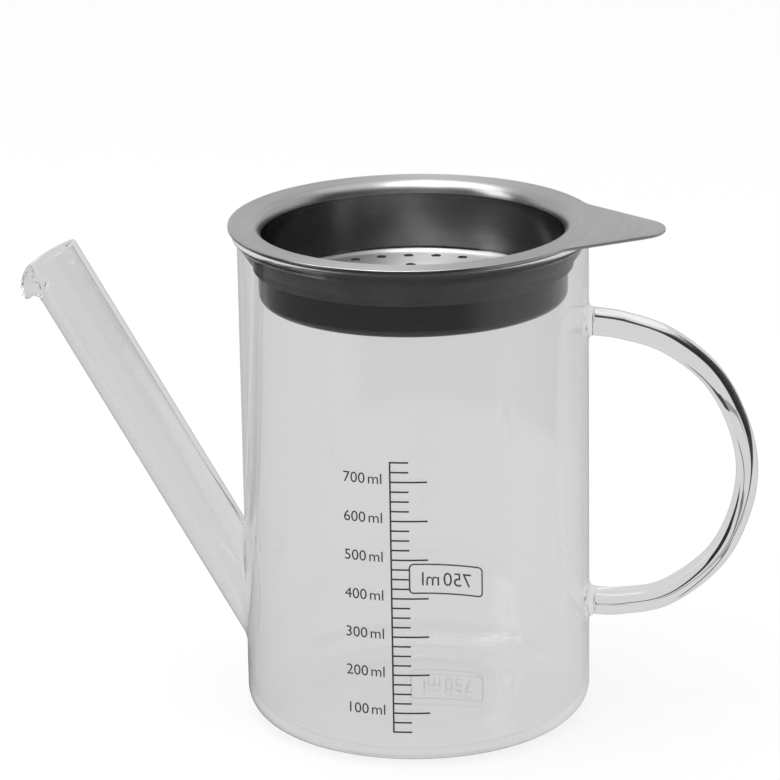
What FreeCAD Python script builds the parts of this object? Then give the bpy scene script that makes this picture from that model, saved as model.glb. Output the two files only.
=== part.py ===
import FreeCAD, Part
import math
import os

# Gravy fat separator: a blown borosilicate jug with a low slanted spout, a bent
# rod handle and a lift-out perforated steel strainer that sits in a silicone seal.
# Millimetres. Origin on the jug's axis at the resting plane, +Z up, handle to +X,
# spout to -X, printed scale to -Y.

V = FreeCAD.Vector
UP = V(0, 0, 1)
ORIGIN = V(0, 0, 0)

# Jug
JUG_RADIUS = 53.0
WALL = 1.8
RIM_HEIGHT = 153.8
RIM_BEAD_REACH = 1.5
RIM_BEAD_HEIGHT = 2.6
RIM_NECK = 3.0
RIM_EASE = 0.5
BASE_CORNER = 8.5
BASE_THICKNESS = 2.6
KICK_HEIGHT = 1.2
KICK_SLOPE = 16.0
STANDING_RING = 4.5

# Spout
SPOUT_TILT = 29.6
SPOUT_ROOT_HEIGHT = 38.9
SPOUT_LENGTH = 119.4
SPOUT_RADIUS = 9.2
SPOUT_WALL = 1.6
LIP_REACH = 4.2
LIP_DROP = 10.2
LIP_SPREAD = 48.0
LIP_SETBACK = 0.6
MOUTH_ROUND = 0.5
WELD_HEIGHT = 1.6
WELD_WIDTH = 1.9

# Handle
HANDLE_DROP = 28.4
HANDLE_BOTTOM = 35.8
HANDLE_REACH = 48.2
HANDLE_END_RADIUS = 4.35
HANDLE_BEND_RADIUS = 3.4
BEAD_SPREAD = 1.9
BEAD_TIP = 0.35
BEAD_HEIGHT = 2.4
BEAD_SINK = 0.6

# Strainer
SHEET = 0.8
FLANGE_SHEET = 1.0
FLANGE_OVERHANG = 1.2
FLANGE_EDGE = 0.25
FLANGE_LAP = 0.6
CUP_DEPTH = 23.2
SHOULDER = 3.6
SHOULDER_FOOT = 0.8
CUP_CORNER = 2.8
TAB_TIP_RADIUS = 11.0
TAB_REACH = 20.8
TAB_HALF_ANGLE = 37.0
TAB_BLEND = 14.0
TAB_TURN = -3.0
HOLE_RADIUS = 1.55
HOLE_MARGIN = 2.9
HOLE_PITCH = 10.5
HOLES_PER_RING = (30, 20, 12, 6)
RING_TURNS = (6.0, 11.5, 0.0, 0.0)

# Seal
SEAL_LEAF = 0.75
SEAL_CLEARANCE = 0.05
SEAL_BAND = 4.5
SEAL_CONTACT = 3.6
SEAL_FOOT = 1.7
SEAL_RIDGE = 0.8
SEAL_FOOT_TOP = 8.2
SEAL_BOTTOM = 11.0
SEAL_FOOT_ROUND = 0.5
SEAL_LEAF_INSET = 0.2
SEAL_BEVEL_START = 0.3
SEAL_BEVEL_REACH = 0.4

# Print
PRINT_FILM = 0.06
PRINT_GAP = 0.02
MARK_STEP = 25
MARK_FIRST = 50
MARK_LAST = 750
MARK_FIRST_HEIGHT = 11.5
LINE_WIDTH = 0.5
SCALE_OFFSET = 1.15
SHORT_MARK = 5.5
LONG_MARK = 10.95
FRAME_WIDTH = 24.8
FRAME_HEIGHT = 10.4
FRAME_LEVEL = 21.9
FRAME_OFFSET = 3.0
FRAME_STROKE = 0.5
FRAME_CORNER = 1.6

# Derived sizes
INNER_RADIUS = JUG_RADIUS - WALL
RIM_BEAD_RADIUS = JUG_RADIUS + RIM_BEAD_REACH
KICK_RADIUS = JUG_RADIUS - BASE_CORNER - STANDING_RING - KICK_SLOPE
HANDLE_TOP = RIM_HEIGHT - HANDLE_DROP
CUP_RADIUS = INNER_RADIUS - SEAL_BAND
FLANGE_RADIUS = RIM_BEAD_RADIUS + FLANGE_OVERHANG
TAB_TIP = FLANGE_RADIUS + TAB_REACH
SEAL_FOOT_RADIUS = CUP_RADIUS + SEAL_FOOT
SEAL_LEAF_RADIUS = RIM_BEAD_RADIUS - SEAL_LEAF_INSET
STEEL_TOP = RIM_HEIGHT + SEAL_LEAF + 2 * SEAL_CLEARANCE + FLANGE_SHEET
MARK_PITCH = MARK_STEP * 1000.0 / (math.pi * INNER_RADIUS ** 2)
SPOUT_BORE = SPOUT_RADIUS - SPOUT_WALL
SPOUT_ROOT = 3 * SPOUT_RADIUS
SPOUT_FRAME = FreeCAD.Placement(
    V(-JUG_RADIUS, 0, SPOUT_ROOT_HEIGHT), FreeCAD.Rotation(V(0, 1, 0), -SPOUT_TILT)
)

# Handle centre line: distance out from the wall and height, as shares of the
# reach and of the height between its two ends.
HANDLE_PATH = (
    (0.0, 1.0), (0.218, 0.986), (0.492, 0.938), (0.76, 0.827), (0.927, 0.672),
    (1.0, 0.5), (0.95, 0.327), (0.795, 0.166), (0.494, 0.036), (0.197, 0.0), (0.0, 0.0),
)
HANDLE_STATIONS = 19


def ring_of(outer, inner, low, high):
    """A straight ring about Z."""
    body = Part.makeCylinder(outer, high - low, V(0, 0, low))
    return body.cut(Part.makeCylinder(inner, high - low, V(0, 0, low)))


def line(a, b):
    """A straight edge between two (radius, height) points."""
    return Part.makeLine(V(a[0], 0, a[1]), V(b[0], 0, b[1]))


def arc(a, m, b):
    """An arc through three (radius, height) points."""
    return Part.Arc(V(a[0], 0, a[1]), V(m[0], 0, m[1]), V(b[0], 0, b[1])).toShape()


def round_mid(centre, radius, degrees):
    """The point of a circle in the (radius, height) plane."""
    angle = math.radians(degrees)
    return (centre[0] + radius * math.cos(angle), centre[1] + radius * math.sin(angle))


def corner(centre, radius, start, end):
    """An arc of a circle in the (radius, height) plane between two angles."""
    return arc(
        round_mid(centre, radius, start),
        round_mid(centre, radius, (start + end) / 2.0),
        round_mid(centre, radius, end),
    )


def slope(a, b):
    """A smooth S curve that leaves a and reaches b level."""
    third = (b[0] - a[0]) / 2.2
    curve = Part.BezierCurve()
    curve.setPoles([V(a[0], 0, a[1]), V(a[0] + third, 0, a[1]), V(b[0] - third, 0, b[1]), V(b[0], 0, b[1])])
    return curve.toShape()


def turned(edges):
    """The solid that a closed profile sweeps about Z."""
    wire = Part.Wire(Part.__sortEdges__(edges))
    return Part.Face(wire).revolve(ORIGIN, UP, 360)


def make_jug():
    """The blown body with its beaded rim, rounded foot and pushed-up base, one skin."""
    floor = BASE_THICKNESS
    inner_corner = BASE_CORNER - WALL
    out_centre = (JUG_RADIUS - BASE_CORNER, BASE_CORNER)
    in_centre = (INNER_RADIUS - inner_corner, floor + inner_corner)
    bead = RIM_BEAD_HEIGHT / 2.0
    rim_out = RIM_BEAD_RADIUS - bead
    rim_in = INNER_RADIUS + RIM_EASE
    ease = (rim_in, RIM_HEIGHT - RIM_EASE)
    low_bead = RIM_HEIGHT - RIM_BEAD_HEIGHT
    neck = low_bead - RIM_NECK
    kick_out = KICK_RADIUS + KICK_SLOPE
    edges = [
        line((0, KICK_HEIGHT), (KICK_RADIUS, KICK_HEIGHT)),
        slope((KICK_RADIUS, KICK_HEIGHT), (kick_out, 0)),
        line((kick_out, 0), (out_centre[0], 0)),
        corner(out_centre, BASE_CORNER, -90, 0),
        line((JUG_RADIUS, BASE_CORNER), (JUG_RADIUS, neck)),
        slope_up((JUG_RADIUS, neck), (rim_out, low_bead)),
        corner((rim_out, low_bead + bead), bead, -90, 90),
        line((rim_out, RIM_HEIGHT), (rim_in, RIM_HEIGHT)),
        corner(ease, RIM_EASE, 90, 180),
        line((INNER_RADIUS, ease[1]), (INNER_RADIUS, in_centre[1])),
        corner(in_centre, inner_corner, 0, -90),
        line((in_centre[0], floor), (kick_out, floor)),
        slope((KICK_RADIUS, floor + KICK_HEIGHT), (kick_out, floor)),
        line((KICK_RADIUS, floor + KICK_HEIGHT), (0, floor + KICK_HEIGHT)),
        line((0, floor + KICK_HEIGHT), (0, KICK_HEIGHT)),
    ]
    body = turned(edges)
    return body.cut(along_spout(SPOUT_BORE, -SPOUT_ROOT, SPOUT_ROOT))


def slope_up(a, b):
    """A short concave blend that leaves a upright and reaches b level."""
    curve = Part.BezierCurve()
    curve.setPoles([V(a[0], 0, a[1]), V(a[0], 0, b[1]), V(b[0], 0, b[1])])
    return curve.toShape()


def spout_local(shape):
    """A shape drawn on the spout's own axis, moved to its place."""
    placed = shape.copy()
    placed.Placement = SPOUT_FRAME
    return placed


def along_spout(radius, low, high):
    """A cylinder on the spout's axis between two places along it."""
    return spout_local(Part.makeCylinder(radius, high - low, V(0, 0, low)))


def wall_cylinder(radius):
    """An upright cylinder on the jug's axis, taller than the jug, for trims."""
    return Part.makeCylinder(radius, 2 * RIM_HEIGHT, V(0, 0, -RIM_HEIGHT / 2.0))


def make_spout():
    """The straight spout tube, cut square at the mouth and to the jug's wall."""
    tube = Part.makeCylinder(SPOUT_RADIUS, SPOUT_LENGTH + SPOUT_ROOT, V(0, 0, -SPOUT_ROOT))
    mouth = [e for e in tube.Edges if abs(e.CenterOfMass.z - SPOUT_LENGTH) < 0.01]
    tube = spout_local(tube.makeFillet(MOUTH_ROUND, mouth))
    tube = tube.cut(along_spout(SPOUT_BORE, -2 * SPOUT_ROOT, SPOUT_LENGTH + SPOUT_ROOT))
    return tube.cut(wall_cylinder(JUG_RADIUS))


def make_lip():
    """The drip lip drawn out and down from the mouth on the side away from the jug."""
    r = SPOUT_RADIUS
    top = SPOUT_LENGTH - LIP_SETBACK
    out = r + LIP_REACH
    drop = LIP_DROP
    p1 = (r, top)
    p2 = (out, top - 0.52 * drop)
    p3 = (r + 0.45 * LIP_REACH, top - 0.78 * drop)
    p4 = (r, top - drop)
    edges = [
        arc(p1, (r + 0.66 * LIP_REACH, top - 0.2 * drop), p2),
        arc(p2, (r + 0.86 * LIP_REACH, top - 0.75 * drop), p3),
        arc(p3, (r + 0.17 * LIP_REACH, top - 0.86 * drop), p4),
        line(p4, p1),
    ]
    face = Part.Face(Part.Wire(Part.__sortEdges__(edges)))
    face.rotate(ORIGIN, UP, 180 - LIP_SPREAD)
    body = face.revolve(ORIGIN, UP, 2 * LIP_SPREAD)
    round_off = Part.makeCylinder(0.84 * r, 3 * r, V(0, 0, top - 0.3 * drop), V(-1, 0, 0))
    return spout_local(body.common(round_off))


def make_spout_weld():
    """The fillet of glass round the foot of the spout."""
    collar = along_spout(SPOUT_RADIUS + WELD_WIDTH, -2 * SPOUT_ROOT, SPOUT_ROOT)
    shell = wall_cylinder(JUG_RADIUS + WELD_HEIGHT).cut(wall_cylinder(JUG_RADIUS))
    ring = collar.common(shell).cut(along_spout(SPOUT_RADIUS, -2 * SPOUT_ROOT, 2 * SPOUT_ROOT))
    solids = sorted(ring.Solids, key=lambda s: s.CenterOfMass.x)
    ring = solids[0]
    outer = [
        e for e in ring.Edges
        if all(math.hypot(v.X, v.Y) > JUG_RADIUS + WELD_HEIGHT - 0.01 for v in e.Vertexes)
        and spout_distance(e) > SPOUT_RADIUS + WELD_WIDTH - 0.05
    ]
    try:
        return ring.makeChamfer(WELD_HEIGHT * 0.8, outer)
    except Part.OCCError:
        return ring


def spout_distance(edge):
    """How far an edge's middle lies from the spout's axis."""
    middle = edge.valueAt((edge.FirstParameter + edge.LastParameter) / 2.0)
    local = SPOUT_FRAME.inverse().multVec(middle)
    return math.hypot(local.x, local.y)


def handle_curve():
    """The handle's centre line."""
    height = HANDLE_TOP - HANDLE_BOTTOM
    points = [
        V(JUG_RADIUS + u * HANDLE_REACH, 0, HANDLE_BOTTOM + w * height) for u, w in HANDLE_PATH
    ]
    curve = Part.BSplineCurve()
    curve.interpolate(Points=points, InitialTangent=V(1, 0, -0.04), FinalTangent=V(-1, 0, 0.02))
    return curve


def handle_radius(share):
    """The rod's radius along the centre line, thinnest half way."""
    thin = 0.5 - 0.5 * math.cos(2.0 * math.pi * share)
    return HANDLE_END_RADIUS + (HANDLE_BEND_RADIUS - HANDLE_END_RADIUS) * min(1.0, 1.15 * thin)


def make_handle():
    """The bent rod, thinner at the bend, its ends cut to the jug's wall."""
    curve = handle_curve()
    sections = []
    length = curve.length()
    for i in range(HANDLE_STATIONS):
        share = i / (HANDLE_STATIONS - 1.0)
        parameter = curve.parameterAtDistance(share * length, curve.FirstParameter)
        point = curve.value(parameter)
        tangent = curve.tangent(parameter)[0]
        radius = handle_radius(share)
        if i == 0:
            point = point - tangent * HANDLE_END_RADIUS
        if i == HANDLE_STATIONS - 1:
            point = point + tangent * HANDLE_END_RADIUS
        sections.append(Part.Wire(Part.Circle(point, tangent, radius).toShape()))
    rod = Part.makeLoft(sections, True, False)
    return rod.cut(wall_cylinder(JUG_RADIUS))


def make_handle_weld(at_top):
    """The pressed bead of glass where an end of the handle meets the wall."""
    curve = handle_curve()
    length = curve.length()
    sections = []
    for out, grow in ((0.0, BEAD_SPREAD), (BEAD_HEIGHT, BEAD_TIP)):
        along = out if at_top else length - out
        parameter = curve.parameterAtDistance(along, curve.FirstParameter)
        away = curve.tangent(parameter)[0] * (1 if at_top else -1)
        point = curve.value(parameter) - away * (0 if out else BEAD_SINK)
        radius = handle_radius(along / length) + grow
        sections.append(Part.Wire(Part.Circle(point, away, radius).toShape()))
    pad = Part.makeLoft(sections, True, True)
    return pad.cut(wall_cylinder(JUG_RADIUS)).cut(make_handle())


def tab_outline():
    """The flange's outline with its thumb tab, as a face at height 0."""
    delta = math.radians(TAB_HALF_ANGLE)
    tip = V(TAB_TIP - TAB_TIP_RADIUS, 0, 0)
    normal = V(math.sin(delta), math.cos(delta), 0)
    # The blend arc touches the flange circle from outside and the tab's straight side.
    offset = TAB_TIP_RADIUS + TAB_BLEND
    reach = FLANGE_RADIUS + TAB_BLEND
    base = tip + normal * offset
    along = V(-math.cos(delta), math.sin(delta), 0)
    b = base.dot(along)
    c = base.dot(base) - reach ** 2
    run = -b - math.sqrt(b * b - c)
    if run < 0:
        run = -b + math.sqrt(b * b - c)
    blend = base + along * run
    on_side = blend - normal * TAB_BLEND
    on_circle = blend * (FLANGE_RADIUS / blend.Length)
    mid_blend = (on_side + on_circle) * 0.5 - blend
    mid_blend = blend + mid_blend * (TAB_BLEND / mid_blend.Length)
    side_tip = tip + normal * TAB_TIP_RADIUS

    def flip(p):
        return V(p.x, -p.y, 0)

    edges = [
        Part.Arc(on_circle, V(-FLANGE_RADIUS, 0, 0), flip(on_circle)).toShape(),
        Part.Arc(flip(on_circle), flip(mid_blend), flip(on_side)).toShape(),
        Part.makeLine(flip(on_side), flip(side_tip)),
        Part.Arc(flip(side_tip), V(TAB_TIP, 0, 0), side_tip).toShape(),
        Part.makeLine(side_tip, on_side),
        Part.Arc(on_side, mid_blend, on_circle).toShape(),
    ]
    return Part.Face(Part.Wire(edges))


def make_strainer():
    """The deep-drawn cup, its rolled shoulder, flange, thumb tab and drilled floor."""
    top = STEEL_TOP
    inner = CUP_RADIUS - SHEET
    bend = (inner + SHOULDER, top - SHOULDER)
    low = top - CUP_DEPTH
    hub = (CUP_RADIUS - CUP_CORNER, low + CUP_CORNER)
    under_bend = SHOULDER - FLANGE_SHEET
    foot = (CUP_RADIUS, top - SHOULDER - SHOULDER_FOOT)
    lap = bend[0] + FLANGE_LAP
    edges = [
        line((0, low), (hub[0], low)),
        corner(hub, CUP_CORNER, -90, 0),
        line((CUP_RADIUS, hub[1]), foot),
        blend_under(foot, bend, under_bend),
        line((bend[0], top - FLANGE_SHEET), (lap, top - FLANGE_SHEET)),
        line((lap, top - FLANGE_SHEET), (lap, top)),
        line((lap, top), (bend[0], top)),
        corner(bend, SHOULDER, 90, 180),
        line((inner, bend[1]), (inner, hub[1])),
        corner(hub, CUP_CORNER - SHEET, 0, -90),
        line((hub[0], low + SHEET), (0, low + SHEET)),
        line((0, low + SHEET), (0, low)),
    ]
    cup = turned(edges)
    plate = tab_outline()
    plate.translate(V(0, 0, top - FLANGE_SHEET))
    plate = plate.extrude(V(0, 0, FLANGE_SHEET))
    rims = [e for e in plate.Edges if abs(e.BoundBox.ZLength) < 1e-6]
    plate = plate.makeFillet(FLANGE_EDGE, rims)
    middle = V(0, 0, top - 2 * FLANGE_SHEET)
    plate = plate.cut(Part.makeCylinder(lap - FLANGE_LAP / 2.0, 3 * FLANGE_SHEET, middle))
    body = cup.fuse(plate).removeSplitter()
    holes = []
    for ring, (count, phase) in enumerate(zip(HOLES_PER_RING, RING_TURNS)):
        radius = hub[0] - HOLE_MARGIN - ring * HOLE_PITCH
        for i in range(count):
            angle = math.radians(phase + 360.0 * i / count)
            spot = V(radius * math.cos(angle), radius * math.sin(angle), low - SHEET)
            holes.append(Part.makeCylinder(HOLE_RADIUS, 3 * SHEET, spot))
    body = body.cut(Part.makeCompound(holes))
    body.rotate(ORIGIN, UP, TAB_TURN)
    return body.Solids[0]


def blend_under(foot, bend, radius):
    """The underside of the shoulder, from the cup's wall out to the flange."""
    curve = Part.BezierCurve()
    top = STEEL_TOP - FLANGE_SHEET
    curve.setPoles([V(foot[0], 0, foot[1]), V(foot[0], 0, top - 0.2 * radius),
                    V(foot[0] + 0.35 * radius, 0, top), V(bend[0], 0, top)])
    return curve.toShape()


def make_seal():
    """The silicone ring: a thin leaf over the rim, a band on the glass and a step below."""
    gap = SEAL_CLEARANCE
    bore = CUP_RADIUS + gap
    leaf_low = RIM_HEIGHT + gap
    leaf_high = leaf_low + SEAL_LEAF
    contact = INNER_RADIUS - gap
    low = RIM_HEIGHT - SEAL_BOTTOM
    foot_top = RIM_HEIGHT - SEAL_FOOT_TOP
    ridge = (SEAL_FOOT_RADIUS + SEAL_RIDGE, foot_top + SEAL_FOOT_ROUND)
    shoulder = STEEL_TOP - SHOULDER - SHOULDER_FOOT - SEAL_BEVEL_START
    clear = bore + SHOULDER + SEAL_BEVEL_REACH
    edges = [
        line((bore, low), (bore, shoulder)),
        line((bore, shoulder), (clear, leaf_high)),
        line((clear, leaf_high), (SEAL_LEAF_RADIUS, leaf_high)),
        line((SEAL_LEAF_RADIUS, leaf_high), (SEAL_LEAF_RADIUS, leaf_low)),
        line((SEAL_LEAF_RADIUS, leaf_low), (contact, leaf_low)),
        line((contact, leaf_low), (contact, RIM_HEIGHT - SEAL_CONTACT)),
        line((contact, RIM_HEIGHT - SEAL_CONTACT), ridge),
        line(ridge, (SEAL_FOOT_RADIUS, foot_top)),
        line((SEAL_FOOT_RADIUS, foot_top), (SEAL_FOOT_RADIUS, low + SEAL_FOOT_ROUND)),
        line((SEAL_FOOT_RADIUS, low + SEAL_FOOT_ROUND), (SEAL_FOOT_RADIUS - SEAL_FOOT_ROUND, low)),
        line((SEAL_FOOT_RADIUS - SEAL_FOOT_ROUND, low), (bore, low)),
    ]
    return turned(edges)


def print_shell():
    """The thin film the marks are cut from, just off the glass."""
    inner = JUG_RADIUS + PRINT_GAP
    return ring_of(inner + PRINT_FILM, inner, BASE_CORNER, RIM_HEIGHT - RIM_BEAD_HEIGHT - RIM_NECK)


def make_scale():
    """The upright line and its marks, one every 25 ml and a long one every 100 ml.

    The line stands a little towards the spout from the middle of the front.
    """
    height = (MARK_LAST - MARK_FIRST) // MARK_STEP * MARK_PITCH
    half = LINE_WIDTH / 2.0
    front = -1.5 * JUG_RADIUS
    start = V(-half, front, MARK_FIRST_HEIGHT - half)
    blank = Part.makeBox(LINE_WIDTH, JUG_RADIUS, height + LINE_WIDTH, start)
    marks = []
    for volume in range(MARK_FIRST, MARK_LAST + 1, MARK_STEP):
        level = MARK_FIRST_HEIGHT + (volume - MARK_FIRST) / float(MARK_STEP) * MARK_PITCH
        long_mark = volume % 100 == 0
        angle = (LONG_MARK if long_mark else SHORT_MARK) / JUG_RADIUS
        reach = JUG_RADIUS * math.sin(angle)
        marks.append(Part.makeBox(reach, JUG_RADIUS, LINE_WIDTH, V(0, front, level - half)))
    scale = blank.multiFuse(marks).common(print_shell()).removeSplitter().Solids[0]
    scale.rotate(ORIGIN, UP, -math.degrees(SCALE_OFFSET / JUG_RADIUS))
    return scale


def make_frame():
    """The plain rounded frame on the back, a little towards the handle."""
    w = FRAME_WIDTH
    h = FRAME_HEIGHT
    outer = rounded_box(w, h, FRAME_CORNER)
    inner = rounded_box(w - 2 * FRAME_STROKE, h - 2 * FRAME_STROKE, FRAME_CORNER - FRAME_STROKE)
    frame = outer.cut(inner).common(print_shell()).Solids[0]
    frame.rotate(ORIGIN, UP, -math.degrees(FRAME_OFFSET / JUG_RADIUS))
    return frame


def rounded_box(width, height, radius):
    """A block through the back of the wall with rounded upright corners."""
    start = V(-width / 2.0, JUG_RADIUS / 2.0, FRAME_LEVEL - height / 2.0)
    block = Part.makeBox(width, JUG_RADIUS, height, start)
    edges = [e for e in block.Edges if abs(e.BoundBox.YLength - JUG_RADIUS) < 0.01]
    return block.makeFillet(radius, edges)


PARTS = {
    "jug_wall": make_jug,
    "spout_tube": make_spout,
    "pouring_lip": make_lip,
    "spout_weld": make_spout_weld,
    "handle_rod": make_handle,
    "upper_handle_weld": lambda: make_handle_weld(True),
    "lower_handle_weld": lambda: make_handle_weld(False),
    "scale_print": make_scale,
    "capacity_frame": make_frame,
    "seal_ring": make_seal,
    "strainer_cup": make_strainer,
}


def main():
    os.makedirs("parts", exist_ok=True)
    for name, make in PARTS.items():
        shape = make()
        if not isinstance(shape, Part.Solid):
            shape = shape.Solids[0]
        box = shape.BoundBox
        print(name, "valid", shape.isValid(), "volume", round(shape.Volume, 1),
              "x", round(box.XMin, 1), round(box.XMax, 1), "y", round(box.YMin, 1), round(box.YMax, 1),
              "z", round(box.ZMin, 1), round(box.ZMax, 1))
        shape.exportStep("parts/" + name + ".step")


main()
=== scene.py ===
"""A gravy fat separator: a clear glass jug with a slanted spout and a rod handle, and a steel strainer."""
import logging
import math
from dataclasses import dataclass
from enum import Enum
from typing import Callable, Optional, Sequence, Union

import bmesh
import bpy
from mathutils import Matrix, Vector


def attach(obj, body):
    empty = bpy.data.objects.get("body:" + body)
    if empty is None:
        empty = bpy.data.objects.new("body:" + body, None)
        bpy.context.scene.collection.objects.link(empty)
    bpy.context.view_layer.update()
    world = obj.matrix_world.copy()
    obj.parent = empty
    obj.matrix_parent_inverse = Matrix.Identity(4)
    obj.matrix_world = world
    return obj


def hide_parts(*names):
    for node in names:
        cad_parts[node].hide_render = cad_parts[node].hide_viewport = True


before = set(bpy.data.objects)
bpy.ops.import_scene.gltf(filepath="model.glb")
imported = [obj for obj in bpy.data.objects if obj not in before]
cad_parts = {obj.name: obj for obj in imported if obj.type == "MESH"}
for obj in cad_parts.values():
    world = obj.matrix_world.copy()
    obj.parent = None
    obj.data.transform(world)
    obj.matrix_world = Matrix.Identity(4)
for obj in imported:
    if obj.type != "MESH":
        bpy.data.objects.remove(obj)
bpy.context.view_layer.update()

logging.basicConfig(level=logging.INFO, format="%(message)s")
LOG = logging.getLogger("separator")

MM = 0.001
Colour = tuple[float, float, float]
Profile = list[tuple[float, float]]
Shapes = tuple[tuple[tuple[float, float], ...], ...]


class Body(Enum):
    """The moving bodies of the frame."""

    JUG = "jug"
    SEAL = "seal"
    STRAINER = "strainer"


class Operation(Enum):
    """How two closed meshes are combined."""

    JOIN = "UNION"
    CUT = "DIFFERENCE"


# Shader maths


class Signal:
    """A value in a node tree that takes part in ordinary expressions."""

    def __init__(self, graph: "Graph", socket: bpy.types.NodeSocket) -> None:
        """Keep the socket and the graph it belongs to."""
        self.graph = graph
        self.socket = socket

    def _math(self, operation: str, *terms: "Term") -> "Signal":
        """Add one Math node."""
        return self.graph.node("ShaderNodeMath", {"operation": operation}, dict(enumerate(terms)))

    def __add__(self, other: "Term") -> "Signal":
        """Sum."""
        return self._math("ADD", self, other)

    def __radd__(self, other: "Term") -> "Signal":
        """Sum with a number first."""
        return self._math("ADD", other, self)

    def __sub__(self, other: "Term") -> "Signal":
        """Difference."""
        return self._math("SUBTRACT", self, other)

    def __rsub__(self, other: "Term") -> "Signal":
        """Difference with a number first."""
        return self._math("SUBTRACT", other, self)

    def __mul__(self, other: "Term") -> "Signal":
        """Product."""
        return self._math("MULTIPLY", self, other)

    def __truediv__(self, other: "Term") -> "Signal":
        """Quotient."""
        return self._math("DIVIDE", self, other)

    def root(self) -> "Signal":
        """Square root."""
        return self._math("SQRT", self)

    def angle_to(self, other: "Signal") -> "Signal":
        """The angle whose tangent is self over other."""
        return self._math("ARCTAN2", self, other)

    def at_least(self, other: "Term") -> "Signal":
        """The larger of two."""
        return self._math("MAXIMUM", self, other)

    def at_most(self, other: "Term") -> "Signal":
        """The smaller of two."""
        return self._math("MINIMUM", self, other)

    def ramp(self, low: float, high: float) -> "Signal":
        """A smooth rise from 0 at low to 1 at high, or a fall where high is the smaller."""
        if low > high:
            return 1.0 - self.ramp(high, low)
        return self.graph.node(
            "ShaderNodeMapRange",
            {"interpolation_type": "SMOOTHSTEP"},
            {"Value": self, "From Min": low, "From Max": high, "To Min": 0.0, "To Max": 1.0},
        )

    def band(self, half: "Term") -> "Signal":
        """1 where the value is less than half a width from 0, with soft sides."""
        return (half - self.at_least(self * -1.0)).ramp(-0.4, 0.4)


Term = Union[Signal, float, int]


class Graph:
    """A node tree with one way to add any node."""

    def __init__(self, tree: bpy.types.NodeTree) -> None:
        """Empty the tree and keep it."""
        self.tree = tree
        tree.nodes.clear()

    def node(
        self,
        kind: str,
        settings: Optional[dict[str, object]] = None,
        inputs: Optional[dict[Union[str, int], object]] = None,
        output: Union[str, int] = 0,
    ) -> Optional[Signal]:
        """Add a node, set its settings, then fill its sockets.

        Args:
            kind: the node's type.
            settings: attributes of the node, set before its sockets.
            inputs: values, colours or signals, by socket name or number.
            output: the socket that is returned.

        Returns:
            The chosen output as a signal, or nothing for an output node.
        """
        made = self.tree.nodes.new(kind)
        for name, value in (settings or {}).items():
            setattr(made, name, value)
        for key, value in (inputs or {}).items():
            socket = made.inputs[key]
            if isinstance(value, Signal):
                self.tree.links.new(value.socket, socket)
            else:
                socket.default_value = (*value, 1.0) if socket.type == "RGBA" else value
        return Signal(self, made.outputs[output]) if made.outputs else None

    def mix(self, share: Term, first: object, second: object) -> Signal:
        """Blend two colours or signals by a share of the second."""
        return self.node("ShaderNodeMix", {"data_type": "RGBA"}, {0: share, 6: first, 7: second}, 2)

    def layered(self, share: Signal, first: Signal, second: Signal) -> Signal:
        """Blend two shaders by a share of the second."""
        return self.node("ShaderNodeMixShader", None, {0: share, 1: first, 2: second})

    def glowing(self, colour: object) -> Signal:
        """A shader that gives out a colour as it is."""
        return self.node("ShaderNodeEmission", None, {"Color": colour, "Strength": 1.0})

    def place(self) -> Signal:
        """Where a point lies on its object, in metres."""
        return self.node("ShaderNodeTexCoord", None, None, "Object")

    def ray(self, fact: str) -> Signal:
        """One of the facts about the ray that looks."""
        return self.node("ShaderNodeLightPath", None, None, fact)

    def split(self, vector: Signal) -> tuple[Signal, ...]:
        """The three parts of a vector."""
        sockets = self.node("ShaderNodeSeparateXYZ", None, {0: vector}).socket.node.outputs
        return tuple(Signal(self, socket) for socket in sockets)

    def joined(self, x: Term, y: Term, z: Term) -> Signal:
        """A vector from three values."""
        return self.node("ShaderNodeCombineXYZ", None, {"X": x, "Y": y, "Z": z})

    def grey(self, value: Signal) -> Signal:
        """A value as a grey."""
        return self.joined(value, value, value)

    def noise(self, vector: Signal, scale: float, detail: float = 3.0, roughness: float = 0.55) -> Signal:
        """A noise of some octaves over a vector, about 0 to 1. A higher roughness has finer grain."""
        return self.node(
            "ShaderNodeTexNoise",
            {"noise_dimensions": "3D"},
            {"Vector": vector, "Scale": scale, "Detail": detail, "Roughness": roughness},
        )

    def bump(self, height: Signal, strength: float, distance: float) -> Signal:
        """A normal bent by a height from 0 to 1, its relief given in metres."""
        return self.node(
            "ShaderNodeBump", None, {"Height": height, "Strength": strength, "Distance": distance}
        )


def lighter(colour: Colour, gain: float, lift: float = 0.0) -> Colour:
    """A colour times a gain, plus a lift."""
    return tuple(part * gain + lift for part in colour)


# Finishes


def new_material(name: str) -> tuple[bpy.types.Material, Graph]:
    """An empty material and its node tree."""
    material = bpy.data.materials.new(name)
    material.use_nodes = True
    return material, Graph(material.node_tree)


@dataclass(frozen=True)
class Finish:
    """A surface with one Principled shader."""

    name: str = "finish"

    def paint(self, graph: Graph) -> dict[str, object]:
        """The shader's socket values and signals."""
        raise NotImplementedError

    def material(self) -> bpy.types.Material:
        """The finished material."""
        material, graph = new_material(self.name)
        shader = graph.node("ShaderNodeBsdfPrincipled", None, self.paint(graph))
        graph.node("ShaderNodeOutputMaterial", None, {"Surface": shader})
        return material


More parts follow.
